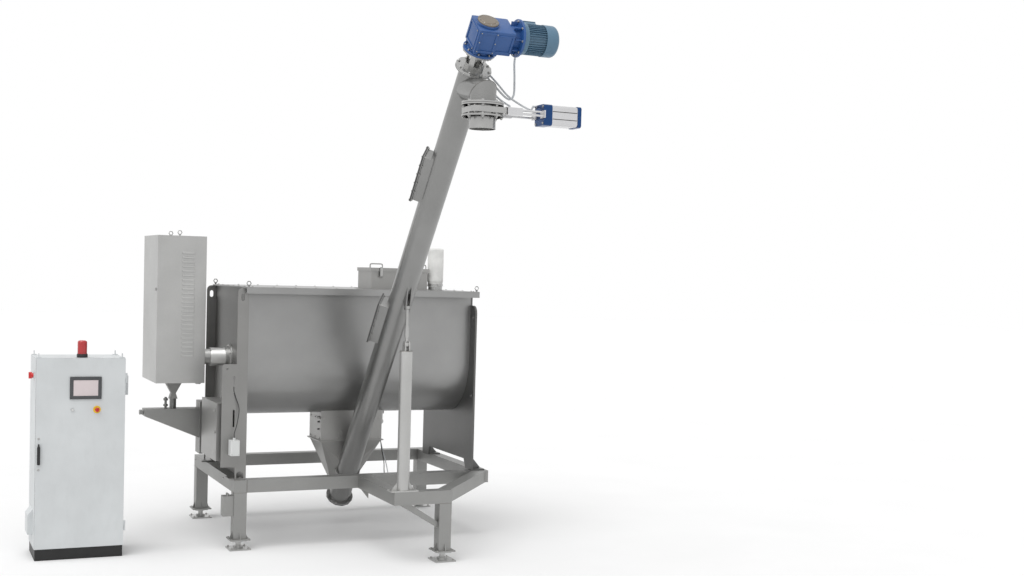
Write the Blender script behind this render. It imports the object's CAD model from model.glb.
# Looks of the ribbon blender: stainless trough mixer, screw conveyor, drive and control cabinet
import math

import bmesh
import bpy
from mathutils import Matrix, Vector


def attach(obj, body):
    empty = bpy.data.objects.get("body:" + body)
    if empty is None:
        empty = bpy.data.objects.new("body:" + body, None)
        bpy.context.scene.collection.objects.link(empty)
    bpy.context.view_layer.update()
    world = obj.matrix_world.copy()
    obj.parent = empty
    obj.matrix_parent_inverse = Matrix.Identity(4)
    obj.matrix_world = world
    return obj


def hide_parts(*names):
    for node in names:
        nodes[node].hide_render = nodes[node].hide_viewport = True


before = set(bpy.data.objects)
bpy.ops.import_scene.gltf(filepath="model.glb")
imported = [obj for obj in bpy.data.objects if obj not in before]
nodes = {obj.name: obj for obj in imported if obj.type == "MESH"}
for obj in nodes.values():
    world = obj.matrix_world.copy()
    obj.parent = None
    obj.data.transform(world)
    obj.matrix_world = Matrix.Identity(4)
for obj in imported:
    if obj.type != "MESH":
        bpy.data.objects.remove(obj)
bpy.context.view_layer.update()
print("frame loaded:", len(nodes), "nodes")

# Camera at the photograph's place
cameraSetup = {"place": (-2.952, -12.339, 2.656), "yaw": 0.435, "pitch": -0.042, "roll": 0.028,
               "focalPixels": 1330.49, "centreRow": 330, "pictureWidth": 1024, "pictureHeight": 576,
               "sensorWidth": 36, "farLimit": 200}


def placeCamera(setup):
    yaw, pitch, roll = setup["yaw"], setup["pitch"], setup["roll"]
    ahead = Vector((math.sin(yaw) * math.cos(pitch), math.cos(yaw) * math.cos(pitch), math.sin(pitch)))
    side = Vector((math.cos(yaw), -math.sin(yaw), 0))
    up = side.cross(ahead)
    rolledSide = side * math.cos(roll) + up * math.sin(roll)
    rolledUp = up * math.cos(roll) - side * math.sin(roll)
    camera = bpy.data.cameras.new("viewpoint")
    camera.sensor_width = setup["sensorWidth"]
    camera.lens = setup["focalPixels"] * setup["sensorWidth"] / setup["pictureWidth"]
    camera.shift_y = (setup["centreRow"] - setup["pictureHeight"] / 2) / setup["pictureWidth"]
    camera.clip_end = setup["farLimit"]
    holder = bpy.data.objects.new("viewpoint", camera)
    turn = Matrix((rolledSide, rolledUp, -ahead)).transposed().to_4x4()
    holder.matrix_world = Matrix.Translation(setup["place"]) @ turn
    bpy.context.scene.collection.objects.link(holder)
    bpy.context.scene.camera = holder


placeCamera(cameraSetup)
bpy.context.scene.view_settings.view_transform = "Standard"
print("camera placed")


# Materials, all from nodes
def startLook(name):
    look = bpy.data.materials.new(name)
    look.use_nodes = True
    tree = look.node_tree
    shader = tree.nodes["Principled BSDF"]
    where = tree.nodes.new("ShaderNodeTexCoord")
    return look, tree, shader, where.outputs["Object"]


def stretched(tree, source, scale):
    mapping = tree.nodes.new("ShaderNodeMapping")
    mapping.inputs["Scale"].default_value = scale
    tree.links.new(source, mapping.inputs["Vector"])
    return mapping.outputs["Vector"]


def speckle(tree, source, scale, detail=4, roughness=0.55):
    noise = tree.nodes.new("ShaderNodeTexNoise")
    noise.inputs["Scale"].default_value = scale
    noise.inputs["Detail"].default_value = detail
    noise.inputs["Roughness"].default_value = roughness
    tree.links.new(source, noise.inputs["Vector"])
    return noise.outputs["Fac"]


def between(tree, share, low, high, start=0.3, end=0.7):
    span = tree.nodes.new("ShaderNodeMapRange")
    span.inputs["From Min"].default_value = start
    span.inputs["From Max"].default_value = end
    span.inputs["To Min"].default_value = low
    span.inputs["To Max"].default_value = high
    tree.links.new(share, span.inputs["Value"])
    return span.outputs["Result"]


def mixColours(tree, share, first, second):
    mix = tree.nodes.new("ShaderNodeMix")
    mix.data_type = "RGBA"
    tree.links.new(share, mix.inputs["Factor"])
    for socket, value in ((mix.inputs["A"], first), (mix.inputs["B"], second)):
        if isinstance(value, tuple):
            socket.default_value = (*value[:3], 1)
        else:
            tree.links.new(value, socket)
    return mix.outputs["Result"]


def shade(colour, factor):
    return tuple(min(1, part * factor) for part in colour)


def addBump(tree, shader, height, strength, distance=0.001):
    bump = tree.nodes.new("ShaderNodeBump")
    bump.inputs["Strength"].default_value = strength
    bump.inputs["Distance"].default_value = distance
    tree.links.new(height, bump.inputs["Height"])
    tree.links.new(bump.outputs["Normal"], shader.inputs["Normal"])


def times(tree, first, second):
    product = tree.nodes.new("ShaderNodeMath")
    product.operation = "MULTIPLY"
    tree.links.new(first, product.inputs[0])
    tree.links.new(second, product.inputs[1])
    return product.outputs[0]


# 1 where the point lies between the given limits of the piece, else 0
def inZone(tree, source, low, high):
    parts = tree.nodes.new("ShaderNodeSeparateXYZ")
    tree.links.new(source, parts.inputs[0])
    result = None
    for axis in range(3):
        for limit, operation in ((low[axis], "GREATER_THAN"), (high[axis], "LESS_THAN")):
            if limit is None:
                continue
            test = tree.nodes.new("ShaderNodeMath")
            test.operation = operation
            test.inputs[1].default_value = limit
            tree.links.new(parts.outputs[axis], test.inputs[0])
            result = test.outputs[0] if result is None else times(tree, result, test.outputs[0])
    return result


# Ground stainless: fine grain along one way, soft clouding, faint rubs
def groundSteel(name, tone, rough, grain=(1, 1, 40), metal=0.85, zones=()):
    look, tree, shader, where = startLook(name)
    brushed = speckle(tree, stretched(tree, where, grain), 45, 6)
    cloud = speckle(tree, where, 1.7, 3)
    rubs = speckle(tree, stretched(tree, where, (3, 3, 9)), 7, 8, 0.7)
    colour = mixColours(tree, between(tree, cloud, 0, 1), shade(tone, 0.88), shade(tone, 1.05))
    colour = mixColours(tree, between(tree, brushed, 0, 0.35), colour, shade(tone, 0.72))
    colour = mixColours(tree, between(tree, rubs, 0, 0.5, 0.62, 0.75), colour, shade(tone, 1.25))
    for low, high, paint in zones:
        colour = mixColours(tree, inZone(tree, where, low, high), colour, paint)
    tree.links.new(colour, shader.inputs["Base Color"])
    shader.inputs["Metallic"].default_value = metal
    tree.links.new(between(tree, brushed, rough - 0.07, rough + 0.09), shader.inputs["Roughness"])
    addBump(tree, shader, brushed, 0.12, 0.0006)
    return look


# Paint or powder coat: orange peel, thin dust and small chips
def paintedSkin(name, tone, rough, peel=260, chips=0.0, metal=0.0, zones=(), coat=0.0):
    look, tree, shader, where = startLook(name)
    peelGrain = speckle(tree, where, peel, 2)
    cloud = speckle(tree, where, 2.3, 4)
    dust = speckle(tree, stretched(tree, where, (1, 1, 0.4)), 14, 6, 0.65)
    colour = mixColours(tree, between(tree, cloud, 0, 1), shade(tone, 0.93), shade(tone, 1.04))
    colour = mixColours(tree, between(tree, dust, 0, 0.25, 0.5, 0.8), colour, shade(tone, 0.8))
    if chips:
        flakes = speckle(tree, where, 38, 9, 0.8)
        colour = mixColours(tree, between(tree, flakes, 0, chips, 0.66, 0.7), colour, (0.32, 0.31, 0.30))
    for low, high, paint in zones:
        colour = mixColours(tree, inZone(tree, where, low, high), colour, paint)
    tree.links.new(colour, shader.inputs["Base Color"])
    shader.inputs["Metallic"].default_value = metal
    shader.inputs["Coat Weight"].default_value = coat
    shader.inputs["Coat Roughness"].default_value = 0.15
    tree.links.new(between(tree, dust, rough - 0.05, rough + 0.12), shader.inputs["Roughness"])
    addBump(tree, shader, peelGrain, 0.10, 0.0004)
    return look


# Moulded plastic or rubber sheath with a fine grain
def mouldedSkin(name, tone, rough, grain=420, coat=0.0):
    look, tree, shader, where = startLook(name)
    fine = speckle(tree, where, grain, 2)
    cloud = speckle(tree, where, 9, 4)
    colour = mixColours(tree, between(tree, cloud, 0, 1), shade(tone, 0.85), shade(tone, 1.15))
    tree.links.new(colour, shader.inputs["Base Color"])
    tree.links.new(between(tree, cloud, rough - 0.04, rough + 0.08), shader.inputs["Roughness"])
    shader.inputs["Coat Weight"].default_value = coat
    addBump(tree, shader, fine, 0.14, 0.0003)
    return look


# Filter cloth: plain weave, with powder dust low down
def filterCloth(name, tone):
    look, tree, shader, where = startLook(name)
    shader.inputs["Sheen Weight"].default_value = 0.35
    shader.inputs["Roughness"].default_value = 0.9
    threads = []
    for axis in ("X", "Z"):
        wave = tree.nodes.new("ShaderNodeTexWave")
        wave.bands_direction = axis
        wave.inputs["Scale"].default_value = 170
        tree.links.new(where, wave.inputs["Vector"])
        threads.append(wave.outputs["Fac"])
    cloud = speckle(tree, where, 11, 5)
    colour = mixColours(tree, between(tree, cloud, 0, 1), shade(tone, 0.86), shade(tone, 1.04))
    tree.links.new(colour, shader.inputs["Base Color"])
    addBump(tree, shader, times(tree, *threads), 0.4, 0.0005)
    return look


looks = {
    "framing": groundSteel("beadBlastedFrame", (0.330, 0.330, 0.322), 0.50, (6, 6, 6)),
    "trough": groundSteel("troughSheet", (0.345, 0.345, 0.342), 0.34, (1, 30, 30)),
    "sheet": groundSteel("foldedSheet", (0.370, 0.367, 0.358), 0.40, (30, 30, 1)),
    "plates": groundSteel("endPlateSteel", (0.285, 0.283, 0.276), 0.42, (30, 30, 1)),
    "tube": groundSteel("conveyorTubeSteel", (0.300, 0.300, 0.295), 0.30, (30, 2, 2)),
    "turned": groundSteel("turnedSteel", (0.460, 0.460, 0.452), 0.27, (12, 12, 12), 0.95),
    "ribbon": groundSteel("polishedRibbon", (0.70, 0.70, 0.69), 0.20, (8, 30, 30), 1.0),
    "bolt": groundSteel("boltSteel", (0.420, 0.414, 0.400), 0.30, (20, 20, 20), 0.95),
    "weld": groundSteel("weldBead", (0.250, 0.240, 0.228), 0.42, (60, 60, 60), 0.9),
    "casting": paintedSkin("bearingCasting", (0.17, 0.17, 0.175), 0.50, 120, 0.3, 0.3),
    "gearBlue": paintedSkin("gearboxPaint", (0.020, 0.085, 0.270), 0.42, 140, 0.35, coat=0.15),
    "motorBlue": paintedSkin("motorPaint", (0.095, 0.185, 0.270), 0.42, 160, 0.2, 0.2, coat=0.15),
    "cabinet": paintedSkin("cabinetCoat", (0.600, 0.622, 0.630), 0.46, 320, zones=[
        ((None, None, None), (None, None, 0.0995), (0.008, 0.008, 0.008)),
        ((-1.475, 0.045, 1.8005), (-1.36, 0.16, None), (0.02, 0.02, 0.02))]),
    "cabinetDoor": paintedSkin("cabinetDoorCoat", (0.610, 0.632, 0.640), 0.44, 320),
    "blackPlastic": mouldedSkin("blackMoulding", (0.012, 0.012, 0.013), 0.42),
    "seal": mouldedSkin("doorSeal", (0.05, 0.05, 0.05), 0.65),
    "blackSheath": mouldedSkin("blackSheath", (0.025, 0.025, 0.025), 0.45),
    "greySheath": mouldedSkin("greySheath", (0.60, 0.62, 0.64), 0.40),
    "cylinder": groundSteel("anodisedBarrel", (0.66, 0.66, 0.67), 0.26, (1, 20, 20), 0.8, [
        ((1.747, None, None), (1.8252, None, None), (0.018, 0.060, 0.180)),
        ((2.0545, None, None), (None, None, None), (0.018, 0.060, 0.180))]),
    "cloth": filterCloth("filterCloth", (0.80, 0.80, 0.78)),
    "redPlastic": mouldedSkin("redMoulding", (0.55, 0.015, 0.015), 0.30, 300, 0.4),
    "yellowPlastic": mouldedSkin("yellowMoulding", (0.75, 0.50, 0.02), 0.40),
    "beacon": mouldedSkin("beaconLens", (0.42, 0.010, 0.012), 0.12, 300, 0.6),
    "whitePlastic": mouldedSkin("paleMoulding", (0.62, 0.62, 0.61), 0.40),
    "coverSheet": groundSteel("driveCoverSheet", (0.480, 0.480, 0.472), 0.40, (30, 30, 1)),
    "shadedPlate": groundSteel("rearPlateSteel", (0.150, 0.150, 0.147), 0.42, (30, 30, 1)),
    "post": groundSteel("postSteel", (0.500, 0.500, 0.490), 0.36, (30, 30, 1)),
    "hatchCover": groundSteel("hatchCoverSteel", (0.125, 0.125, 0.122), 0.40, (12, 12, 12)),
    "wornCap": paintedSkin("wornCapSteel", (0.235, 0.205, 0.170), 0.45, 120, 0.4, 0.6),
    "junction": paintedSkin("junctionPolymer", (0.640, 0.650, 0.645), 0.46, 320),
    "bezel": mouldedSkin("panelSurround", (0.060, 0.062, 0.066), 0.38),
    "slot": mouldedSkin("darkSlot", (0.03, 0.03, 0.03), 0.70),
    "screen": paintedSkin("panelScreen", (0.640, 0.560, 0.565), 0.10, 40, metal=0.1, coat=0.8),
}
print("materials made:", len(looks))

nodeLooks = {
    "framing": ["base_frame", "drive_bracket", "torque_arm"],
    "junction": ["junction_box"],
    "trough": ["trough_shell", "top_cover"],
    "coverSheet": ["drive_cover"],
    "sheet": ["valve_enclosure", "enclosure_door", "inlet_hopper", "hopper_lid", "gate_housing",
              "discharge_chute"],
    "plates": ["end_plate_left"],
    "shadedPlate": ["end_plate_right"],
    "post": ["support_post", "bearing_left"],
    "tube": ["conveyor_tube"],
    "turned": ["load_foot_front_left", "load_foot_rear_left", "load_foot_rear_right", "load_foot_platform",
               "vent_collar", "sock_clamp", "head_lantern", "outlet_valve_body", "tie_rod", "flap_actuator",
               "lid_latch_left", "lid_latch_right"],
    "ribbon": ["agitator_shaft", "outer_ribbon_left", "outer_ribbon_right", "inner_ribbon_left",
               "inner_ribbon_right", "conveyor_screw", "outlet_valve_blade", "discharge_flap"],
    "casting": ["bearing_right", "tail_bearing"],
    "gearBlue": ["drive_gearbox", "screw_gearbox"],
    "motorBlue": ["drive_motor", "screw_motor"],
    "cylinder": ["outlet_valve_cylinder"],
    "cabinet": ["cabinet_body"],
    "cabinetDoor": ["cabinet_door"],
    "blackPlastic": ["hmi_panel", "door_handle"],
    "whitePlastic": ["push_button"],
    "redPlastic": ["emergency_stop", "isolator_handle"],
    "beacon": ["beacon_dome"],
    "cloth": ["vent_sock"],
    "blackSheath": ["sensor_cable", "flap_hose_a", "flap_hose_b"],
    "greySheath": ["air_hose_a", "air_hose_b", "motor_cable"],
}
for lookName, names in nodeLooks.items():
    for name in names:
        node = nodes[name]
        if not node.material_slots:
            node.data.materials.append(looks[lookName])
        for holder in node.material_slots:
            holder.material = looks[lookName]
print("node materials set")


# Mesh helpers: everything is added to one bmesh per piece
def facing(point, direction, turn=0.0):
    turned = Vector(direction).to_track_quat("Z", "Y").to_matrix().to_4x4()
    return Matrix.Translation(point) @ turned @ Matrix.Rotation(turn, 4, "Z")


# Points on a level circle
def circlePoints(centre, radius, height, count):
    turns = [math.tau * i / count for i in range(count)]
    return [Vector((centre[0] + radius * math.cos(turn), centre[1] + radius * math.sin(turn), height))
            for turn in turns]


# Quads between each ring of points and the next
def bridgeRings(shape, rings):
    for ring, after in zip(rings, rings[1:]):
        for i in range(len(ring)):
            j = (i + 1) % len(ring)
            shape.faces.new((ring[i], ring[j], after[j], after[i]))


# Revolved skin from (radius, distance) pairs along the place's Z
def addTurned(shape, place, profile, sides=48, ends=True):
    rings = [[shape.verts.new(place @ point) for point in circlePoints((0, 0), radius, along, sides)]
             for radius, along in profile]
    bridgeRings(shape, rings)
    if ends:
        shape.faces.new(rings[0][::-1])
        shape.faces.new(rings[-1])


# Hexagon head on a washer, chamfered at the top
def addBolt(shape, place, size, washer=True, nut=False):
    if washer:
        addTurned(shape, place, [(size * 1.05, 0), (size * 1.05, size * 0.12), (size, size * 0.18)], 20)
    base = size * 0.16
    addTurned(shape, place, [(size * 0.82, base), (size * 0.82, base + size * 0.5),
                             (size * 0.7, base + size * 0.6)], 6)
    if nut:
        addTurned(shape, place, [(size * 0.46, base), (size * 0.46, base + size * 0.95),
                                 (size * 0.38, base + size * 1.02)], 12)


def addBoltRing(shape, place, radius, count, size, start=0.0, nut=False):
    for i in range(count):
        angle = start + math.tau * i / count
        spot = Matrix.Translation((radius * math.cos(angle), radius * math.sin(angle), 0))
        addBolt(shape, place @ spot, size, nut=nut)


# Box with softened edges
def addSlab(shape, low, high, soften=0.0, place=None):
    corners = [Vector((low[0] if i & 1 == 0 else high[0], low[1] if i & 2 == 0 else high[1],
                       low[2] if i & 4 == 0 else high[2])) for i in range(8)]
    made = [shape.verts.new(place @ corner if place else corner) for corner in corners]
    faces = [shape.faces.new([made[i] for i in order]) for order in
             ((0, 2, 3, 1), (4, 5, 7, 6), (0, 1, 5, 4), (2, 6, 7, 3), (0, 4, 6, 2), (1, 3, 7, 5))]
    if soften:
        edges = list({edge for face in faces for edge in face.edges})
        bmesh.ops.bevel(shape, geom=edges, offset=soften, segments=2, affect="EDGES", profile=0.6)


# Round bar through points, used for weld beads, handles and grille wires
def addBar(shape, points, radius, sides=8, closed=False):
    points = [Vector(point) for point in points]
    rings = []
    count = len(points)
    for i, point in enumerate(points):
        if closed:
            ahead = (points[(i + 1) % count] - points[i - 1]).normalized()
        else:
            ahead = (points[min(i + 1, count - 1)] - points[max(i - 1, 0)]).normalized()
        across = (across - ahead * across.dot(ahead)).normalized() if rings else ahead.orthogonal().normalized()
        other = ahead.cross(across)
        rings.append([shape.verts.new(point + (across * math.cos(math.tau * k / sides)
                                               + other * math.sin(math.tau * k / sides)) * radius)
                      for k in range(sides)])
    bridgeRings(shape, rings + rings[:1] if closed else rings)
    if not closed:
        shape.faces.new(rings[0][::-1])
        shape.faces.new(rings[-1])


def addPiece(name, shape, look, body="machine", smooth=True):
    bmesh.ops.recalc_face_normals(shape, faces=shape.faces)
    mesh = bpy.data.meshes.new(name)
    shape.to_mesh(mesh)
    shape.free()
    mesh.materials.append(looks[look])
    piece = bpy.data.objects.new(name, mesh)
    bpy.context.scene.collection.objects.link(piece)
    if smooth:
        for polygon in mesh.polygons:
            polygon.use_smooth = True
        mesh.set_sharp_from_angle(angle=math.radians(32))
    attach(piece, body)
    return piece


# Conveyor: everything on the tube is placed along its own slanting axis
conveyor = {"tail": (1.25, 0.84, 0.315), "sine": 0.633786, "cosine": 0.773508, "radius": 0.1095, "wall": 0.004,
            "tailFlange": 0.012, "joint": (0.375, 0.387, 0.399), "headFlange": (5.136, 5.150), "outlet": (1.25, -2.63),
            "ductLow": (-0.030, 0.100, 0.900), "ductHigh": (0.030, 0.1435, 5.000),
            "hatchSpans": ((2.165, 2.605), (3.810, 4.250)), "hatchTurn": 30, "hatchReach": 0.166, "hatchHalf": 0.075,
            "hatchRim": 0.015, "branchStart": 4.96, "branchRadius": 0.106, "branchCorner": 4.08, "branchBottom": 3.99,
            "lugHeight": 2.33, "lugPlace": -1.04, "lugHalf": 0.024, "lugRoot": 0.065,
            "lugSpans": ((1.2257, 1.2357), (1.2643, 1.2743))}
tubeFrame = Matrix(((1, 0, 0, conveyor["tail"][0]),
                    (0, conveyor["cosine"], -conveyor["sine"], conveyor["tail"][1]),
                    (0, conveyor["sine"], conveyor["cosine"], conveyor["tail"][2]),
                    (0, 0, 0, 1)))
hatchFrame = tubeFrame @ Matrix.Rotation(-math.radians(conveyor["hatchTurn"]), 4, "Z")


def alongTube(distance):
    return tubeFrame @ Matrix.Translation((0, 0, distance))


# Pipe elbow from the tube's head down to the slide valve, mitred at its corner
def addBranch(shape, facts):
    corner = Vector((*facts["outlet"], facts["branchCorner"]))
    head = tubeFrame @ Vector((0, 0, facts["branchStart"]))
    down = Vector((0, 0, -1))
    along = (corner - head).normalized()
    mitre = (along + down).normalized()
    rings = [[], [], []]
    for spot in circlePoints(facts["outlet"], facts["branchRadius"], facts["branchCorner"], 64):
        spot -= down * ((spot - corner).dot(mitre) / down.dot(mitre))
        rings[0].append(shape.verts.new(spot - along * (corner - head).length))
        rings[1].append(shape.verts.new(spot))
        rings[2].append(shape.verts.new((spot.x, spot.y, facts["branchBottom"])))
    bridgeRings(shape, rings)
    return [vert.co.copy() for vert in rings[1]]


# Ear plate under the tube for the tie rod's pin, its top cut to the tube's slope
def addLug(shape, facts, low, high):
    y, z = facts["lugPlace"], facts["lugHeight"]
    half, root = facts["lugHalf"], facts["lugRoot"]
    slope = facts["cosine"] / facts["sine"]
    under = facts["radius"] / facts["sine"] - 0.020
    roof = [facts["tail"][2] + (facts["tail"][1] - place) * slope - under for place in (y + root, y - root)]
    outline = [(y - half, z + 0.012), (y - half, z - 0.006)]
    outline += [(y - half * math.cos(math.pi * i / 10), z - 0.006 - 0.018 * math.sin(math.pi * i / 10))
                for i in range(1, 10)]
    outline += [(y + half, z - 0.006), (y + half, z + 0.012), (y + root, roof[0]), (y - root, roof[1])]
    sides = [[shape.verts.new((x, a, b)) for a, b in outline] for x in (low, high)]
    shape.faces.new(sides[0])
    shape.faces.new(sides[1][::-1])
    bridgeRings(shape, sides[::-1])


def buildConveyorTube(facts):
    shape = bmesh.new()
    radius, bore = facts["radius"], facts["radius"] - facts["wall"]
    tailTop = facts["tailFlange"]
    jointLow, jointSeam, jointHigh = facts["joint"]
    headLow, headHigh = facts["headFlange"]
    addTurned(shape, tubeFrame, [
        (bore, 0.0), (0.136, 0.0), (0.138, 0.002), (0.138, tailTop - 0.002), (0.136, tailTop), (radius, tailTop),
        (radius, jointLow), (0.126, jointLow), (0.128, jointLow + 0.002), (0.128, jointSeam - 0.0005),
        (0.1265, jointSeam), (0.128, jointSeam + 0.0005), (0.128, jointHigh - 0.002), (0.126, jointHigh),
        (radius, jointHigh), (radius, headLow), (0.148, headLow), (0.150, headLow + 0.002),
        (0.150, headHigh - 0.002), (0.148, headHigh), (bore, headHigh), (bore, 0.0)], 80, False)
    seam = addBranch(shape, facts)
    bottom = facts["branchBottom"]
    addTurned(shape, Matrix.Translation((*facts["outlet"], bottom)),
              [(0.102, 0.0001), (0.1665, 0.0001), (0.168, 0.0015), (0.168, 0.0125), (0.1665, 0.014), (0.106, 0.014)],
              72, False)
    # cord duct along the tube's back
    addSlab(shape, facts["ductLow"], facts["ductHigh"], 0.003, tubeFrame)
    for low, high in facts["lugSpans"]:
        addLug(shape, facts, low, high)
    half, rim, reach = facts["hatchHalf"], facts["hatchRim"], facts["hatchReach"]
    for low, high in facts["hatchSpans"]:
        addSlab(shape, (-reach, -half, low), (-0.055, half, high), 0.002, hatchFrame)
        addSlab(shape, (-reach - 0.003, -half - rim, low - rim), (-reach + 0.002, half + rim, high + rim), 0.0008,
                hatchFrame)
    tube = addPiece("conveyorTube", shape, "tube")
    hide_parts("conveyor_tube")
    welds = bmesh.new()
    addBar(welds, seam, 0.0024, 6, True)
    addPiece("tubeWelds", welds, "weld")


def buildHatches(facts):
    covers, gaskets, bolts = bmesh.new(), bmesh.new(), bmesh.new()
    half, rim, reach = facts["hatchHalf"], facts["hatchRim"], facts["hatchReach"]
    for low, high in facts["hatchSpans"]:
        addSlab(gaskets, (-reach - 0.009, -half - rim + 0.001, low - rim + 0.001),
                (-reach - 0.003, half + rim - 0.001, high + rim - 0.001), 0.0, hatchFrame)
        addSlab(covers, (-reach - 0.017, -half - rim, low - rim), (-reach - 0.009, half + rim, high + rim), 0.001,
                hatchFrame)
        # handle of the cover
        middle = (low + high) / 2
        addBar(covers, [hatchFrame @ Vector((-reach - out, 0, middle + along)) for out, along in (
            (0.0160, -0.045), (0.0205, -0.044), (0.0220, -0.040), (0.0220, 0.040), (0.0205, 0.044),
            (0.0160, 0.045))], 0.0032, 10)
        for step in range(6):
            along = low - 0.004 + (high - low + 0.008) * step / 5
            for side in (-1, 1):
                spot = side * (half + 0.006)
                addBolt(bolts, hatchFrame @ facing((-reach - 0.0170, spot, along), (-1, 0, 0)), 0.0075, False)
                addBolt(bolts, hatchFrame @ facing((-reach + 0.002, spot, along), (1, 0, 0)), 0.0085, False, True)
    addPiece("hatchCovers", covers, "hatchCover")
    addPiece("hatchGaskets", gaskets, "seal")
    addPiece("hatchBolts", bolts, "bolt")


# Slide valve under the branch: round flanges, square body, and its cylinder towards the right
valve = {"centre": (1.25, -2.63), "axis": 3.9387, "flange": 0.1684, "bore": 0.107, "spout": 0.1064, "neck": 0.1204,
         "flangeSpans": ((3.99, 4.004), (3.9757, 3.9897), (3.8877, 3.9017)),
         "neckSpans": ((3.9755, 3.960), (3.917, 3.902)), "boltCircle": 0.1495,
         "body": (3.9157, 3.9617), "cylinderEnds": (1.75, 2.087), "barrelSpan": (1.83, 2.05)}
valvePlace = Matrix.Translation((*valve["centre"], 0))


def buildFlangeBolts(facts, valveFacts):
    shape = bmesh.new()
    jointLow, jointSeam, jointHigh = facts["joint"]
    lanternLow, lanternHigh = 5.1645, 5.3001    # inner faces of the lantern's flanges
    addBoltRing(shape, tubeFrame @ facing((0, 0, facts["headFlange"][0]), (0, 0, -1)), 0.130, 8, 0.013, 0.2, True)
    addBoltRing(shape, alongTube(lanternLow), 0.130, 8, 0.013, 0.2)
    addBoltRing(shape, tubeFrame @ facing((0, 0, lanternHigh), (0, 0, -1)), 0.117, 8, 0.013, 0.4)
    addBoltRing(shape, tubeFrame @ facing((0, 0, jointLow), (0, 0, -1)), 0.119, 10, 0.008)
    addBoltRing(shape, alongTube(jointHigh), 0.119, 10, 0.008, 0, True)
    addBoltRing(shape, alongTube(facts["tailFlange"]), 0.125, 6, 0.009)
    for height, direction in ((4.0045, 1), (3.9755, -1), (3.9017, 1), (3.8875, -1)):
        place = valvePlace @ facing((0, 0, height), (0, 0, direction))
        addBoltRing(shape, place, valveFacts["boltCircle"], 8, 0.0155, direction * math.pi / 8, direction < 0)
    addPiece("flangeBolts", shape, "turned")


def buildValveSkin(facts):
    shape = bmesh.new()
    radius, bore, spout = facts["flange"], facts["bore"], facts["spout"]
    for low, high in facts["flangeSpans"]:
        addTurned(shape, valvePlace, [(bore, low), (radius - 0.0015, low), (radius, low + 0.0015),
                                      (radius, high - 0.0015), (radius - 0.0015, high), (bore, high)], 64, False)
    addTurned(shape, valvePlace, [(spout, 3.887), (spout, 3.800), (spout + 0.0005, 3.797), (spout - 0.0004, 3.7932)],
              64, False)
    for high, low in facts["neckSpans"]:
        addTurned(shape, valvePlace, [(facts["neck"], high), (facts["neck"], low)], 64, False)
    addPiece("valveFlangeSkin", shape, "turned")
    seals = bmesh.new()
    for height in (3.9899, 3.9757):
        addBar(seals, circlePoints(facts["centre"], 0.1675, height, 64), 0.0012, 6, True)
    addPiece("valveSeals", seals, "seal")
    # tie bolts of the valve's square body
    bolts = bmesh.new()
    middle = Vector((*facts["centre"], 0))
    bodyLow, bodyHigh = facts["body"]
    for x in (-0.122, -0.04, 0.04, 0.122, 0.150):
        for y in (-0.124, 0.124):
            addBolt(bolts, Matrix.Translation(middle + Vector((x, y, bodyHigh))), 0.009)
            addBolt(bolts, facing(middle + Vector((x, y, bodyLow)), (0, 0, -1)), 0.009, nut=True)
    addPiece("valveBodyBolts", bolts, "bolt")


def buildCylinderTrim(facts):
    bolts, grooves = bmesh.new(), bmesh.new()
    y, z = facts["centre"][1], facts["axis"]
    left, right = facts["cylinderEnds"]
    for dy in (-0.066, 0.066):
        for dz in (-0.066, 0.066):
            addBolt(bolts, facing((right, y + dy, z + dz), (1, 0, 0)), 0.010)
            addBolt(bolts, facing((left, y + dy, z + dz), (-1, 0, 0)), 0.010)
    addPiece("cylinderBolts", bolts, "bolt")
    left, right = facts["barrelSpan"]
    for face in (y - 0.0812, y + 0.0812):
        for dz in (-0.030, 0.030):
            addSlab(grooves, (left, face - 0.0004, z + dz - 0.003), (right, face + 0.0004, z + dz + 0.003))
    addPiece("cylinderGrooves", grooves, "slot")


buildConveyorTube(conveyor)
buildHatches(conveyor)
buildFlangeBolts(conveyor, valve)
buildValveSkin(valve)
buildCylinderTrim(valve)
print("conveyor dressed")

# Screw drive at the head: right-angle gearbox on its output flange, and a finned motor with its fan cowl
screwDrive = {"flangeLow": 5.3143, "flangeHigh": 5.3323, "bodyLow": 5.352, "bodyHigh": 5.556, "left": -0.098,
              "right": 0.215, "half": 0.120, "axisHeight": 5.457, "flangeAt": 0.295, "motorEnd": 0.618,
              "cowlStart": 0.510, "barrel": 0.110, "finReach": 0.1235, "finCount": 40, "cowlRadius": 0.1270,
              "cowlBend": 0.042, "grilleRings": (0.038, 0.047, 0.056, 0.065, 0.074), "boxMiddle": 0.4238,
              "boxLow": 5.4298, "boxHigh": 5.5348}
driveFrame = tubeFrame @ Matrix.Translation((0, 0, screwDrive["axisHeight"])) @ Matrix.Rotation(math.pi / 2, 4, "Y")


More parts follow.
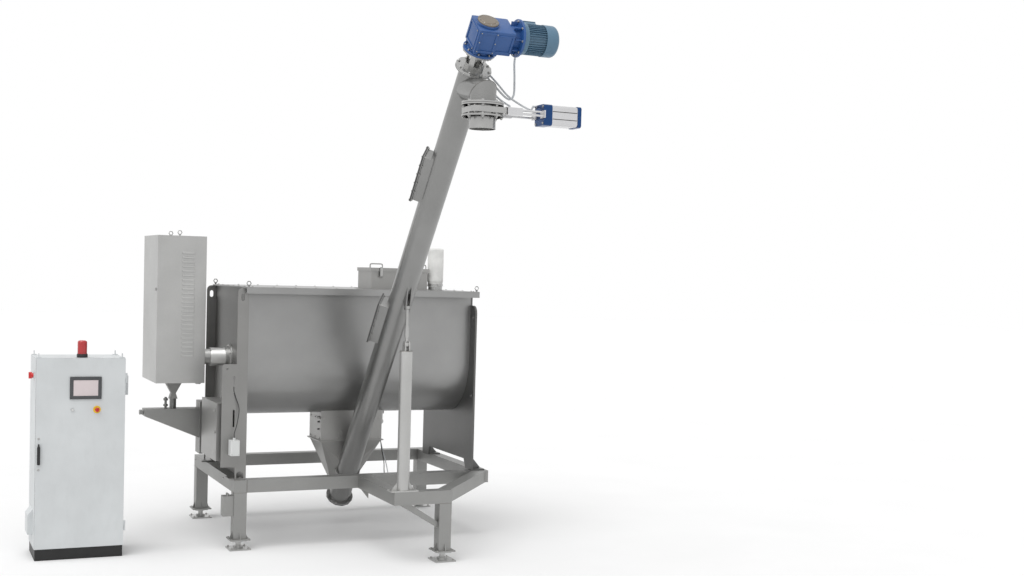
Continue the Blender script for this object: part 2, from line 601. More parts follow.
def buildScrewGearbox(facts):
    shape = bmesh.new()
    low, high, half, flange = facts["bodyLow"], facts["bodyHigh"], facts["half"], facts["flangeAt"]
    left, right, seatLow, seatHigh = facts["left"], facts["right"], facts["flangeLow"], facts["flangeHigh"]
    addTurned(shape, tubeFrame, [
        (0.030, seatLow), (0.1335, seatLow), (0.135, seatLow + 0.0015), (0.135, seatHigh - 0.0015), (0.1335, seatHigh),
        (0.104, seatHigh), (0.100, seatHigh + 0.006), (0.100, low + 0.010)], 72, False)
    addSlab(shape, (left, -half, low), (right, half, high), 0.012, tubeFrame)
    # raised frames of the cast faces, with sunken panels between their ribs
    for side in (-1, 1):
        face = side * half
        for x0, x1, z0, z1 in (
                (left + 0.010, 0.062, low + 0.012, low + 0.030), (left + 0.010, 0.062, high - 0.030, high - 0.012),
                (left + 0.010, left + 0.028, low + 0.020, high - 0.020), (0.046, 0.064, low + 0.020, high - 0.020),
                (0.078, right - 0.008, low + 0.024, low + 0.038), (0.078, right - 0.008, high - 0.038, high - 0.024),
                (right - 0.024, right - 0.008, low + 0.030, high - 0.030)):
            y0, y1 = sorted((face - side * 0.004, face + side * 0.0056))
            addSlab(shape, (x0, y0, z0), (x1, y1, z1), 0.0022, tubeFrame)
    for y0, y1, z0, z1 in ((-0.094, 0.094, low + 0.016, low + 0.030), (-0.094, 0.094, high - 0.030, high - 0.016),
                           (-0.094, -0.078, low + 0.024, high - 0.024), (0.078, 0.094, low + 0.024, high - 0.024)):
        addSlab(shape, (left - 0.0055, y0, z0), (left + 0.004, y1, z1), 0.0022, tubeFrame)
    # seat of the round cover on top and the foot bosses below
    addTurned(shape, tubeFrame, [(0.094, high - 0.004), (0.094, high + 0.016), (0.092, high + 0.018),
                                 (0.050, high + 0.018)], 64, False)
    for x in (-0.070, 0.090):
        for y in (-0.092, 0.092):
            addTurned(shape, tubeFrame @ Matrix.Translation((x, y, 0)),
                      [(0.022, low - 0.014), (0.022, low + 0.020)], 24)
    # adapter and round flange towards the motor
    addTurned(shape, driveFrame, [
        (0.099, right - 0.012), (0.093, right + 0.016), (0.095, flange - 0.026), (0.112, flange - 0.018),
        (0.1485, flange - 0.0165), (0.150, flange - 0.015), (0.150, flange + 0.0015), (0.1485, flange + 0.003),
        (0.060, flange + 0.003)], 80, False)
    for i in range(8):
        turn = driveFrame @ Matrix.Rotation(math.tau * (i + 0.5) / 8, 4, "Z")
        addSlab(shape, (0.088, -0.004, right + 0.004), (0.128, 0.004, flange - 0.014), 0.0015, turn)
    gearbox = addPiece("screwGearbox", shape, "gearBlue")
    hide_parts("screw_gearbox")
    cap = bmesh.new()
    addTurned(cap, alongTube(high + 0.018), [(0.086, 0), (0.086, 0.010), (0.083, 0.0125), (0.064, 0.0130),
                                             (0.060, 0.0175), (0.020, 0.0180)], 64)
    addPiece("gearboxCap", cap, "wornCap")
    bolts = bmesh.new()
    addBoltRing(bolts, alongTube(high + 0.0305), 0.074, 8, 0.0062)
    addBoltRing(bolts, driveFrame @ Matrix.Translation((0, 0, flange - 0.0165)) @ Matrix.Rotation(math.pi, 4, "X"),
                0.133, 8, 0.010, 0.35)
    addBoltRing(bolts, alongTube(seatHigh), 0.118, 8, 0.011, 0.39, True)
    for side in (-1, 1):
        for x in (left + 0.019, 0.055):
            for z in (low + 0.021, (low + high) / 2, high - 0.021):
                addBolt(bolts, tubeFrame @ facing((x, side * 0.1256, z), (0, side, 0)), 0.0066, False)
    for y in (-0.086, 0.086):
        for z in (low + 0.023, high - 0.023):
            addBolt(bolts, tubeFrame @ facing((left - 0.0055, y, z), (-1, 0, 0)), 0.0066, False)
    addPiece("gearboxBolts", bolts, "bolt")


def buildScrewMotor(facts):
    barrel, reach = facts["barrel"], facts["finReach"]
    start, cowl, end = facts["flangeAt"] + 0.0035, facts["cowlStart"], facts["motorEnd"]
    shape = bmesh.new()
    addTurned(shape, driveFrame, [
        (0.060, start), (0.1262, start), (0.1270, start + 0.001), (0.1270, start + 0.038), (0.1250, start + 0.044),
        (0.116, start + 0.050), (barrel, start + 0.054), (barrel, cowl + 0.004), (0.060, cowl + 0.004)], 80)
    gapTurn = math.tau / facts["finCount"]
    for i in range(facts["finCount"]):
        turn = driveFrame @ Matrix.Rotation(gapTurn * i, 4, "Z")
        addSlab(shape, (barrel - 0.004, -0.0020, start + 0.044), (reach, 0.0020, cowl + 0.001), 0.0006, turn)
    motor = addPiece("screwMotor", shape, "motorBlue")
    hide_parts("screw_motor")
    radius = facts["cowlRadius"]
    shape = bmesh.new()
    profile = [(radius - 0.004, cowl - 0.012), (radius, cowl - 0.011)]
    bend = facts["cowlBend"]
    for i in range(9):
        angle = math.pi / 2 * i / 8
        profile.append((radius - bend + bend * math.cos(angle), end - bend + bend * math.sin(angle)))
    profile += [(0.078, end + 0.0001), (0.076, end - 0.004), (0.030, end - 0.004), (0.028, end - 0.0004),
                (0.001, end - 0.0004)]
    addTurned(shape, driveFrame, profile, 80, False)
    addPiece("motorCowl", shape, "motorBlue")
    # fan grille: dark ring behind wire rings and spokes
    shape = bmesh.new()
    addTurned(shape, driveFrame, [(0.077, end - 0.0036), (0.029, end - 0.0036)], 64, False)
    addPiece("motorGrilleBack", shape, "slot")
    shape = bmesh.new()
    for ringRadius in facts["grilleRings"]:
        ring = [driveFrame @ point for point in circlePoints((0, 0), ringRadius, end - 0.0026, 48)]
        addBar(shape, ring, 0.0012, 6, True)
    for inner, outer in zip(circlePoints((0, 0), 0.026, end - 0.0024, 8), circlePoints((0, 0), 0.080, end - 0.0024, 8)):
        addBar(shape, [driveFrame @ inner, driveFrame @ outer], 0.0014, 6)
    addPiece("motorGrille", shape, "motorBlue")
    # terminal box towards the tube's back, its lid screwed on
    shape = bmesh.new()
    middle, low, high = facts["boxMiddle"], facts["boxLow"], facts["boxHigh"]
    addSlab(shape, (middle - 0.0525, 0.060, low), (middle + 0.0525, 0.150, high), 0.006, tubeFrame)
    addSlab(shape, (middle - 0.055, 0.1505, low - 0.0025), (middle + 0.055, 0.1568, high + 0.0025), 0.003, tubeFrame)
    addTurned(shape, tubeFrame @ facing((middle, 0.135, low), (0, 0, -1)),
              [(0.013, -0.004), (0.013, 0.008), (0.0105, 0.010), (0.0105, 0.0215)], 20)
    addPiece("terminalBox", shape, "motorBlue")
    bolts = bmesh.new()
    for x in (-0.045, 0.045):
        for z in (-0.045, 0.045):
            addBolt(bolts, tubeFrame @ facing((middle + x, 0.1562, (low + high) / 2 + z), (0, 1, 0)), 0.0045)
    addPiece("motorBolts", bolts, "bolt")


buildScrewGearbox(screwDrive)
buildScrewMotor(screwDrive)
print("head drive dressed")


# Hoses and cables between fittings, each on one smooth line through its route
hoseRuns = {
    "air_hose_a": {"radius": 0.0078, "look": "greySheath", "finish": "cable_grey", "stiffness": "medium", "route": [
        (1.232, -2.2313, 4.2629), (1.232, -2.263, 4.3016), (1.26, -2.277, 4.3479), (1.325, -2.2981, 4.35),
        (1.38, -2.3413, 4.3081), (1.465, -2.4, 4.205), (1.545, -2.45, 4.1), (1.62, -2.52, 4.03),
        (1.69, -2.578, 3.985), (1.7107, -2.5875, 4.0102), (1.7257, -2.5875, 4.0102)]},
    "air_hose_b": {"radius": 0.0078, "look": "greySheath", "finish": "cable_grey", "stiffness": "medium", "route": [
        (1.268, -2.2313, 4.2629), (1.268, -2.2408, 4.2746), (1.295, -2.2467, 4.2952), (1.34, -2.2762, 4.2839),
        (1.38, -2.3233, 4.2388), (1.41, -2.39, 4.15), (1.465, -2.455, 4.07), (1.515, -2.51, 4.02),
        (1.5288, -2.529, 4.008), (1.5288, -2.529, 3.993)]},
    "motor_cable": {"radius": 0.0085, "look": "greySheath", "finish": "cable_grey", "stiffness": "medium", "route": [
        (1.25, -2.2313, 4.2629), (1.25, -2.2503, 4.2862), (1.27, -2.2603, 4.3228), (1.325, -2.2853, 4.3217),
        (1.375, -2.3332, 4.2825), (1.45, -2.385, 4.185), (1.53, -2.428, 4.092), (1.588, -2.418, 4.078),
        (1.622, -2.405, 4.13), (1.625, -2.4, 4.26), (1.622, -2.4, 4.4), (1.645, -2.425, 4.5),
        (1.6738, -2.4733, 4.5717), (1.6738, -2.4828, 4.5833)]},
    "flap_hose_a": {"radius": 0.0045, "look": "blackSheath", "finish": "cable_black", "stiffness": "medium", "route": [
        (1.6228, 0.693, 1.0393), (1.6228, 0.693, 1.0), (1.612, 0.6, 0.84), (1.572, 0.4, 0.72), (1.52, 0.24, 0.655),
        (1.48, 0.1043, 0.597), (1.48, 0.0823, 0.597)]},
    "flap_hose_b": {"radius": 0.0045, "look": "greySheath", "finish": "cable_black", "stiffness": "medium", "route": [
        (1.6228, 0.729, 1.0393), (1.6228, 0.729, 1.0), (1.634, 0.66, 0.85), (1.606, 0.44, 0.71), (1.566, 0.26, 0.635),
        (1.53, 0.1043, 0.597), (1.53, 0.0823, 0.597)]},
    "sensor_cable": {"radius": 0.004, "look": "blackSheath", "finish": "cable_black", "stiffness": "medium", "route": [
        (-0.078, -0.0953, 1.0623), (-0.078, -0.0953, 1.1049), (-0.0555, -0.0953, 1.19), (-0.033, -0.0738, 1.3262),
        (-0.0615, -0.0523, 1.4369), (-0.075, -0.0403, 1.488), (-0.075, -0.0263, 1.533)]},
}


def smoothLine(route, radius, steps=10):
    route = [Vector(point) for point in route]
    ends = route[0].copy(), route[-1].copy()
    route[0] = ends[0] + (route[1] - ends[0]).normalized() * radius
    route[-1] = ends[1] + (route[-2] - ends[1]).normalized() * radius
    padded = [route[0] * 2 - route[1]] + route + [route[-1] * 2 - route[-2]]
    line = [ends[0]]
    for i in range(1, len(padded) - 2):
        a, b, c, d = padded[i - 1:i + 3]
        for step in range(steps):
            t = step / steps
            line.append((b * 2 + (c - a) * t + (a * 2 - b * 5 + c * 4 - d) * t ** 2
                         + (b * 3 - a - c * 3 + d) * t ** 3) / 2)
    return line + [route[-1], ends[1]]


def buildHose(name, facts):
    line = smoothLine(facts["route"], facts["radius"])
    curve = bpy.data.curves.new(name + "Run", "CURVE")
    curve.dimensions = "3D"
    curve.bevel_depth = facts["radius"]
    curve.bevel_resolution = 5
    curve.use_fill_caps = True
    strand = curve.splines.new("POLY")
    strand.points.add(len(line) - 1)
    for spot, point in zip(strand.points, line):
        spot.co = (*point, 1)
    strand.use_smooth = True
    curve.materials.append(looks[facts["look"]])
    hose = bpy.data.objects.new(name + "Run", curve)
    bpy.context.scene.collection.objects.link(hose)
    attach(hose, "machine")
    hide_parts(name)


for hoseName, hoseFacts in hoseRuns.items():
    buildHose(hoseName, hoseFacts)
print("hoses laid")

# Drive cover, bearings and bolts round the trough
trough = {"axis": (0.653, 1.770), "louvreLeft": -0.45, "louvreRight": -0.335, "louvreLow": 1.773,
          "louvrePitch": 0.043, "louvreCount": 24, "coverFront": 0.572, "bearingLeft": 0.0417, "bearingRight": 2.3753,
          "skin": 0.5604, "skinTop": 2.44, "skinLeft": 0.058, "skinRight": 2.349, "outletSpan": (0.925, 1.575),
          "outletTop": 1.275, "rimTop": 2.4683, "hopperFootTop": 2.4746, "deckTop": 0.6713}


def buildLouvres(facts):
    shape = bmesh.new()
    front = facts["coverFront"]
    left, right = facts["louvreLeft"] - 0.003, facts["louvreRight"] + 0.003
    for i in range(facts["louvreCount"]):
        low = facts["louvreLow"] + facts["louvrePitch"] * i
        profile = [(front + 0.0005, low + 0.021), (front - 0.004, low + 0.018), (front - 0.0062, low + 0.010),
                   (front - 0.0068, low + 0.0005), (front - 0.0056, low + 0.0005), (front - 0.0050, low + 0.0095),
                   (front - 0.0032, low + 0.0165), (front + 0.0005, low + 0.019)]
        rows = [[shape.verts.new((x, y, z)) for y, z in profile]
                for x in (left, left + 0.004, right - 0.004, right)]
        # the hood's ends run down to the sheet
        for row in (rows[0], rows[-1]):
            for spot in row:
                spot.co.y = front + (spot.co.y - front) * 0.25
        bridgeRings(shape, rows)
        shape.faces.new(rows[0])
        shape.faces.new(rows[-1][::-1])
    addPiece("louvreHoods", shape, "coverSheet")


def buildBearingTrim(facts):
    y, z = facts["axis"]
    shape = bmesh.new()
    outwards = facing((facts["bearingLeft"], y, z), (-1, 0, 0))
    addTurned(shape, outwards, [(0.050, 0.0003), (0.1205, 0.0003), (0.122, 0.002), (0.122, 0.0185), (0.1205, 0.020),
                                (0.096, 0.0205), (0.095, 0.060), (0.090, 0.062), (0.088, 0.066), (0.088, 0.196),
                                (0.0845, 0.2035), (0.0752, 0.2045), (0.0745, 0.2610), (0.071, 0.2634),
                                (0.012, 0.2634)], 72)
    bearing = addPiece("bearingLeft", shape, "post")
    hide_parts("bearing_left")
    bolts = bmesh.new()
    addBoltRing(bolts, outwards @ Matrix.Translation((0, 0, 0.020)), 0.109, 8, 0.009, math.pi / 8)
    addBoltRing(bolts, outwards @ Matrix.Translation((0, 0, 0.2040)), 0.0815, 6, 0.0045)
    addPiece("bearingLeftBolts", bolts, "bolt")
    shape = bmesh.new()
    rightwards = facing((facts["bearingRight"], y, z), (1, 0, 0))
    addTurned(shape, rightwards, [
        (0.1205, 0.0), (0.1223, 0.002), (0.1223, 0.0185), (0.1205, 0.0202), (0.0955, 0.0203), (0.0955, 0.0575),
        (0.1003, 0.0585), (0.1003, 0.122), (0.097, 0.1252), (0.052, 0.1252)], 64, False)
    addPiece("bearingRounds", shape, "casting")
    shape = bmesh.new()
    addBoltRing(shape, rightwards @ Matrix.Translation((0, 0, 0.0202)), 0.109, 8, 0.009, math.pi / 8)
    addBoltRing(shape, rightwards @ Matrix.Translation((0, 0, 0.1250)), 0.078, 6, 0.006)
    addPiece("bearingBolts", shape, "bolt")


def rowOfBolts(shape, start, end, count, direction, size, nut=False):
    start, end = Vector(start), Vector(end)
    for i in range(count):
        addBolt(shape, facing(start.lerp(end, i / max(count - 1, 1)), direction), size, nut=nut)


def buildTroughBolts(facts):
    shape = bmesh.new()
    # cover rim, bolted to the trough flange from above
    top = facts["rimTop"]
    for y in (-0.060, 1.366):
        rowOfBolts(shape, (0.075, y, top), (2.317, y, top), 12, (0, 0, 1), 0.0085)
    for x in (0.036, 2.356):
        rowOfBolts(shape, (x, 0.09, top), (x, 1.23, top), 6, (0, 0, 1), 0.0085)
    # charging hopper foot
    top = facts["hopperFootTop"]
    for y in (0.286, 0.740):
        rowOfBolts(shape, (1.39, y, top), (1.925, y, top), 5, (0, 0, 1), 0.007)
    # end plates on the frame
    for columns, front in (((-0.150, 0.010), 0.018), ((2.39, 2.468), 0.025)):
        for x in columns:
            for y in (front, 1.282):
                addBolt(shape, facing((x, y, facts["deckTop"]), (0, 0, 1)), 0.011)
    # outlet housing of the trough
    for z in (0.957, 1.158):
        rowOfBolts(shape, (0.957, 0.4878, z), (1.543, 0.4878, z), 5, (0, -1, 0), 0.009)
        for x, side in ((0.9298, -1), (1.5702, 1)):
            rowOfBolts(shape, (x, 0.53, z), (x, 0.846, z), 3, (side, 0, 0), 0.009)
    addPiece("troughBolts", shape, "bolt")
    shape = bmesh.new()
    # hand knobs that hold the outlet's inspection plate
    for z in (1.045, 1.118):
        place = facing((0.9298, 0.560, z), (-1, 0, 0))
        addTurned(shape, place, [(0.0072, 0), (0.0072, 0.006), (0.0085, 0.0065), (0.0085, 0.013), (0.007, 0.0145)], 18)
    addPiece("outletKnobs", shape, "blackPlastic")


# Frame: square legs on their load feet, and the round post on the platform
stand = {"legs": ((0, 0), (0, 1.707), (2.472, 1.707), (1.65, -1.04)), "legHalf": 0.060, "legLow": 0.1025,
         "legHigh": 0.5368, "weldTop": 0.6573, "footReach": 0.078, "footTop": 0.0121, "cellTop": 0.1018,
         "post": (1.25, -1.04), "postRadius": 0.0573, "postLow": 0.6693, "postHigh": 1.9335}


def buildFrameWelds(facts):
    shape = bmesh.new()
    half, top = facts["legHalf"], facts["weldTop"]
    seams = []
    for x, y in facts["legs"]:
        for z in (facts["legHigh"], facts["legLow"]):
            seams += [[(x - half, y - half, z), (x - half, y + half, z)],
                      [(x - half, y - half, z), (x + half, y - half, z)],
                      [(x + half, y - half, z), (x + half, y + half, z)]]
    seams += [[(0.06, -0.0605, 0.657), (0.06, -0.0605, 0.537)], [(0.0, -0.0605, 0.657), (-0.0605, -0.0605, 0.657)],
              [(1.15, -0.9805, top), (1.15, -1.0995, top)]]
    for seam in seams:
        addBar(shape, [Vector(seam[0]).lerp(Vector(seam[1]), step / 8) for step in range(9)], 0.0028, 6)
    # round the post, at its base plate and its cap
    for height in (facts["postLow"], facts["postHigh"] - 0.0005):
        addBar(shape, circlePoints(facts["post"], facts["postRadius"] + 0.0002, height, 40), 0.003, 6, True)
    addPiece("frameWelds", shape, "weld")


def buildFootBolts(facts):
    shape = bmesh.new()
    x, y = facts["post"]
    for dx in (-0.108, 0.108):
        for dy in (-0.036, 0.036):
            addBolt(shape, facing((x + dx, y + dy, facts["postLow"]), (0, 0, 1)), 0.010)
    reach = facts["footReach"]
    for x, y in facts["legs"]:
        for dx in (-reach, reach):
            for dy in (-reach, reach):
                addBolt(shape, facing((x + dx, y + dy, facts["footTop"]), (0, 0, 1)), 0.011, nut=True)
                addBolt(shape, facing((x + dx, y + dy, facts["cellTop"]), (0, 0, 1)), 0.009)
    addPiece("footBolts", shape, "bolt")


def buildPostSkin(facts):
    shape = bmesh.new()
    radius = facts["postRadius"]
    addTurned(shape, Matrix.Translation((*facts["post"], 0)), [(radius, facts["postLow"]), (radius, facts["postHigh"])],
              56, False)
    addPiece("postSkin", shape, "post")


# Rolled skin of the trough, left open where the outlet housing sits
def buildTroughSkin(facts):
    shape = bmesh.new()
    y, z = facts["axis"]
    radius = facts["skin"]
    outline = [(y - radius, facts["skinTop"]), (y - radius, 0.5 * (facts["skinTop"] + z))]
    outline += [(y - radius * math.cos(math.pi * i / 90), z - radius * math.sin(math.pi * i / 90))
                for i in range(91)]
    outline += [(y + radius, 0.5 * (facts["skinTop"] + z)), (y + radius, facts["skinTop"])]
    columns = [[shape.verts.new((x, a, b)) for a, b in outline]
               for x in (facts["skinLeft"], *facts["outletSpan"], facts["skinRight"])]
    for part, (left, right) in enumerate(zip(columns, columns[1:])):
        for i in range(len(outline) - 1):
            middle = (outline[i][1] + outline[i + 1][1]) / 2
            if part == 1 and middle < facts["outletTop"]:
                continue
            shape.faces.new((left[i], left[i + 1], right[i + 1], right[i]))
    addPiece("troughSkin", shape, "trough")


buildLouvres(trough)
buildBearingTrim(trough)
buildTroughBolts(trough)
buildFrameWelds(stand)
buildFootBolts(stand)
buildPostSkin(stand)
buildTroughSkin(trough)
print("trough and frame dressed")


# Filter sock on the vent collar: a closed sleeve of woven cloth, pulled on and held by the clamp
filterSock = {"centre": (2.07, 0.37), "low": 2.5052, "top": 2.8985, "neck": 0.0748, "body": 0.0808, "sides": 96,
              "rows": 64, "cloth": 0.0012, "clampTop": 2.536, "shoulder": 0.030, "cap": 0.016, "seamLow": 2.572,
              "stitchPitch": 0.0072, "stitches": 44}


def buildSock(facts):
    shape = bmesh.new()
    low, top = facts["low"], facts["top"]
    rings = []
    for row in range(facts["rows"] + 1):
        share = row / facts["rows"]
        height = low + (top - low) * share
        base = facts["neck"]
        aboveClamp = height - facts["clampTop"]
        if aboveClamp > 0:
            rise = min(1, aboveClamp / facts["shoulder"])
            base += (facts["body"] - facts["neck"]) * (rise * rise * (3 - 2 * rise))
        closing = max(0, (height - (top - facts["cap"])) / facts["cap"])
        base *= math.sqrt(max(0.0, 1 - closing ** 2 * 0.72))
        ring = []
        for i in range(facts["sides"]):
            angle = math.tau * i / facts["sides"]
            nearNeck = math.exp(-abs(height - 2.545) / 0.035)
            pucker = 0.0006 * math.sin(angle * 14 + 0.7) * nearNeck + 0.00045 * math.sin(angle * 31) * nearNeck
            crease = 0.0009 * math.sin(height * 92 + 2.3 * math.sin(angle * 2 + height * 9)) * (1 - nearNeck)
            slack = 0.0010 * math.sin(angle * 3 + height * 17) * min(1, share * 4)
            amount = 0 if aboveClamp < 0 else 1
            radius = base + (pucker + crease * 0.5 + slack * 0.7) * amount * (1 - closing)
            ring.append(shape.verts.new((facts["centre"][0] + radius * math.cos(angle),
                                         facts["centre"][1] + radius * math.sin(angle), height)))
        rings.append(ring)
    bridgeRings(shape, rings)
    tip = shape.verts.new((*facts["centre"], top + 0.0003))
    for i in range(facts["sides"]):
        shape.faces.new((rings[-1][i], rings[-1][(i + 1) % facts["sides"]], tip))
    bmesh.ops.recalc_face_normals(shape, faces=shape.faces)
    bmesh.ops.solidify(shape, geom=list(shape.faces), thickness=facts["cloth"])
    sock = addPiece("filterSock", shape, "cloth")
    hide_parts("vent_sock")
    # stitches of the seam down the side
    seam = bmesh.new()
    angle = math.radians(200)
    edge = facts["body"] + 0.0006
    x, y = facts["centre"][0] + edge * math.cos(angle), facts["centre"][1] + edge * math.sin(angle)
    for i in range(facts["stitches"]):
        start = Vector((x, y, facts["seamLow"] + facts["stitchPitch"] * i))
        addBar(seam, [start, start + Vector((0, 0, 0.0042))], 0.0005, 5)
    addPiece("sockStitching", seam, "whitePlastic")


buildSock(filterSock)
print("filter sock made")

# Control cabinet: panel, buttons, beacon, hinges and seams
cabinet = {"left": -1.820, "right": -1.054, "doorFace": -0.011, "doorLow": 0.108, "doorHigh": 1.792,
           "panel": (-1.535, -1.263, 1.435, 1.635), "panelFace": -0.0213, "panelMargin": 0.030,
           "push": (-1.51, 1.34), "stop": (-1.30, 1.34), "stopFront": -0.026, "barrels": (-1.792, 0.812, 1.088),
           "beacon": (-1.42, 0.099), "beaconFoot": 1.8003, "beaconLow": 1.8323, "beaconRibs": 9}


def buildPanelScreen(facts):
    left, right, low, high = facts["panel"]
    face, margin = facts["panelFace"], facts["panelMargin"]
    shape = bmesh.new()
    # four bezel bars, softly rounded, stand round the screen
    for x0, x1, z0, z1 in ((left + 0.0005, left + margin, low + 0.0005, high - 0.0005),
                           (right - margin, right - 0.0005, low + 0.0005, high - 0.0005),
                           (left + margin - 0.002, right - margin + 0.002, low + 0.0005, low + margin),
                           (left + margin - 0.002, right - margin + 0.002, high - margin, high - 0.0005)):
        addSlab(shape, (x0, face - 0.0016, z0), (x1, face + 0.006, z1), 0.0014)
    addPiece("panelBezel", shape, "bezel", "cabinet_leaf")
    shape = bmesh.new()
    addSlab(shape, (left + margin - 0.001, face + 0.0006, low + margin - 0.001),
            (right - margin + 0.001, face + 0.0026, high - margin + 0.001), 0.0004)
    addPiece("panelScreen", shape, "screen", "cabinet_leaf")


# Round fitting turned on the cabinet's face, out towards the front
def turnedOnDoor(shape, spot, face, profile, sides, ends=True):
    addTurned(shape, facing((spot[0], face, spot[1]), (0, -1, 0)), profile, sides, ends)


def buildDoorFittings(facts):
    face = facts["doorFace"]
    shape = bmesh.new()
    turnedOnDoor(shape, facts["stop"], face, [(0.0145, 0.0), (0.034, 0.0), (0.034, 0.0014), (0.0325, 0.0024),
                                              (0.0145, 0.0024)], 48, False)
    addPiece("stopRing", shape, "yellowPlastic", "cabinet_leaf")
    shape = bmesh.new()
    turnedOnDoor(shape, facts["push"], face, [(0.0152, 0.0), (0.0152, 0.006), (0.0146, 0.0078), (0.0112, 0.0081)],
                 40, False)
    # lock barrels above and below the swing handle
    x, *heights = facts["barrels"]
    for height in heights:
        turnedOnDoor(shape, (x, height), face, [(0.0105, 0.0), (0.0105, 0.003), (0.0095, 0.004), (0.0062, 0.004),
                                                (0.0058, 0.0022)], 32)
    addPiece("doorBarrels", shape, "turned", "cabinet_leaf")
    seal = bmesh.new()
    left, right, low, high = facts["left"] + 0.004, facts["right"] - 0.004, facts["doorLow"], facts["doorHigh"]
    rear = -0.0005
    addBar(seal, [(left, rear, low), (left, rear, high), (right, rear, high), (right, rear, low)], 0.0030, 6, True)
    addPiece("doorSeal", seal, "seal", "machine")


def buildStopButton(facts):
    shape = bmesh.new()
    turnedOnDoor(shape, facts["stop"], facts["stopFront"], [
        (0.0135, 0.0), (0.0188, 0.0025), (0.0201, 0.0065), (0.0201, 0.0125), (0.0190, 0.0158), (0.0160, 0.0180),
        (0.0110, 0.0190), (0.0040, 0.0193)], 48)
    addPiece("stopHead", shape, "redPlastic", "stop_button")


def buildBeacon(facts):
    x, y = facts["beacon"]
    place = Matrix.Translation((x, y, facts["beaconLow"]))
    shape = bmesh.new()
    profile = [(0.0405, 0.0), (0.0425, 0.001), (0.0425, 0.008), (0.0412, 0.009)]
    for i in range(facts["beaconRibs"]):
        start = 0.0105 + 0.0108 * i
        profile += [(0.0412, start), (0.0422, start + 0.0027), (0.0422, start + 0.0064), (0.0412, start + 0.0091)]
    profile += [(0.0405, 0.1085), (0.0375, 0.1150), (0.0300, 0.1205), (0.0180, 0.1230), (0.0040, 0.1236)]
    addTurned(shape, place, profile, 72)
    # shallow upright flutes in the ribbed part
    for vert in shape.verts:
        reach = math.hypot(vert.co.x - x, vert.co.y - y)
        if 0.0405 < reach < 0.0425 and 1.84 < vert.co.z < 1.94:
            angle = math.atan2(vert.co.y - y, vert.co.x - x)
            pull = 1 - 0.010 * (0.5 + 0.5 * math.cos(angle * 24))
            vert.co.x, vert.co.y = x + (vert.co.x - x) * pull, y + (vert.co.y - y) * pull
    dome = addPiece("beaconLens", shape, "beacon")
    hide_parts("beacon_dome")
    shape = bmesh.new()
    addTurned(shape, Matrix.Translation((x, y, facts["beaconFoot"])), [
        (0.0455, 0.0), (0.0472, 0.0015), (0.0472, 0.024), (0.0450, 0.0285), (0.0435, 0.0312), (0.037, 0.0315)],
        56, False)
    addPiece("beaconFoot", shape, "blackPlastic")


# Valve enclosure and the junction box on the left end plate
enclosure = {"lockPlace": (-0.2276, 0.105), "lockHeights": (0.90, 1.30), "lidFace": -0.1503,
             "screwColumns": (-0.1105, -0.0455), "screwHeights": (0.912, 1.050)}


def buildEnclosureTrim(facts):
    shape = bmesh.new()
    # quarter-turn locks on the valve enclosure's door
    for z in facts["lockHeights"]:
        addTurned(shape, facing((*facts["lockPlace"], z), (-1, 0, 0)), [
            (0.0125, 0.0), (0.0125, 0.0012), (0.0105, 0.0018), (0.0060, 0.0018), (0.0055, 0.0006)], 32)
    addPiece("enclosureLocks", shape, "turned", "enclosure_leaf")
    shape = bmesh.new()
    # screws in the junction box's lid
    for x in facts["screwColumns"]:
        for z in facts["screwHeights"]:
            addBolt(shape, facing((x, facts["lidFace"], z), (0, -1, 0)), 0.0042, False)
    addPiece("junctionScrews", shape, "bolt")


buildPanelScreen(cabinet)
buildDoorFittings(cabinet)
buildStopButton(cabinet)
buildBeacon(cabinet)
buildEnclosureTrim(enclosure)
print("cabinet dressed")


# Studio: pale floor, plain soft light, white behind
studio = {"floor": (0.86, 0.86, 0.86), "world": 0.62, "sun": 1.95, "softness": 62, "sunWay": (0.42, 0.34, -1.0),
          "floorReach": 60, "floorHeight": -0.001}


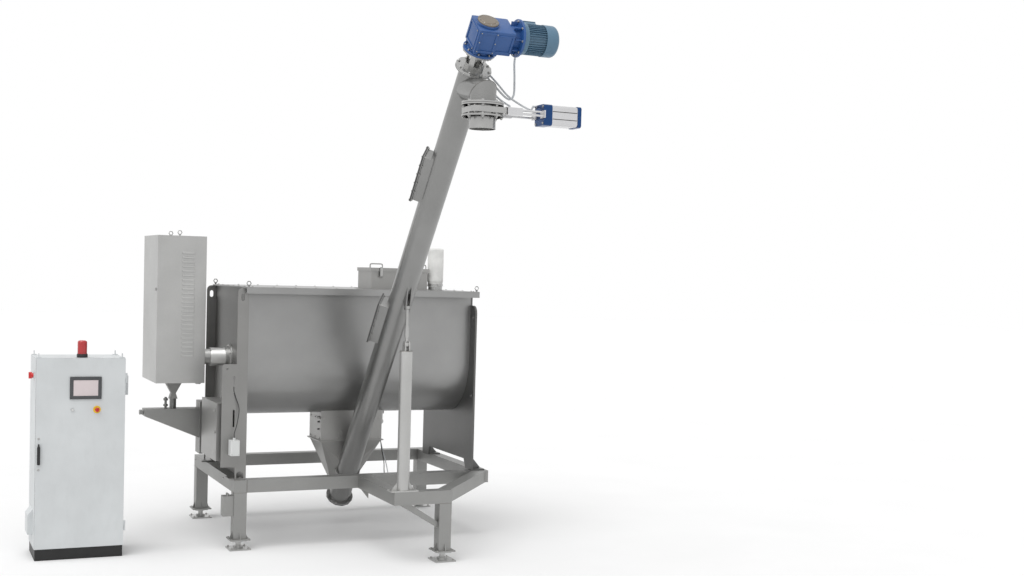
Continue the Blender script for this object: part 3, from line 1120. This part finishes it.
# White for the camera and for reflections, the colour given here for light and shadow
def whiteBehind(tree):
    path = tree.nodes.new("ShaderNodeLightPath")
    seen = path.outputs["Is Camera Ray"]
    for name in ("Is Glossy Ray", "Is Transmission Ray"):
        either = tree.nodes.new("ShaderNodeMath")
        either.operation = "MAXIMUM"
        tree.links.new(seen, either.inputs[0])
        tree.links.new(path.outputs[name], either.inputs[1])
        seen = either.outputs[0]
    return seen


def buildWorld(facts):
    world = bpy.data.worlds.new("studioAir")
    bpy.context.scene.world = world
    world.use_nodes = True
    tree = world.node_tree
    plain = tree.nodes["Background"]
    plain.inputs["Color"].default_value = (1, 1, 1, 1)
    plain.inputs["Strength"].default_value = facts["world"]
    white = tree.nodes.new("ShaderNodeBackground")
    white.inputs["Color"].default_value = (1, 1, 1, 1)
    white.inputs["Strength"].default_value = 1.0
    mix = tree.nodes.new("ShaderNodeMixShader")
    output = tree.nodes["World Output"]
    tree.links.new(whiteBehind(tree), mix.inputs["Fac"])
    tree.links.new(plain.outputs[0], mix.inputs[1])
    tree.links.new(white.outputs[0], mix.inputs[2])
    tree.links.new(mix.outputs[0], output.inputs["Surface"])


def buildFloor(facts):
    shape = bmesh.new()
    reach, height = facts["floorReach"], facts["floorHeight"]
    corners = [shape.verts.new((x * reach, y * reach, height)) for x, y in ((-1, -1), (1, -1), (1, 1), (-1, 1))]
    shape.faces.new(corners)
    mesh = bpy.data.meshes.new("studioFloor")
    shape.to_mesh(mesh)
    shape.free()
    floor = bpy.data.objects.new("studioFloor", mesh)
    bpy.context.scene.collection.objects.link(floor)
    look, tree, shader, where = startLook("floorPaint")
    tone = facts["floor"]
    cloud = speckle(tree, where, 0.8, 3)
    colour = mixColours(tree, between(tree, cloud, 0, 1), shade(tone, 0.985), shade(tone, 1.01))
    tree.links.new(colour, shader.inputs["Base Color"])
    shader.inputs["Roughness"].default_value = 0.9
    mesh.materials.append(look)


def addSun(facts):
    light = bpy.data.lights.new("softSun", "SUN")
    light.energy = facts["sun"]
    light.angle = math.radians(facts["softness"])
    lamp = bpy.data.objects.new("softSun", light)
    lamp.matrix_world = Vector(facts["sunWay"]).to_track_quat("-Z", "Y").to_matrix().to_4x4()
    bpy.context.scene.collection.objects.link(lamp)


buildWorld(studio)
buildFloor(studio)
addSun(studio)
print("studio lit")
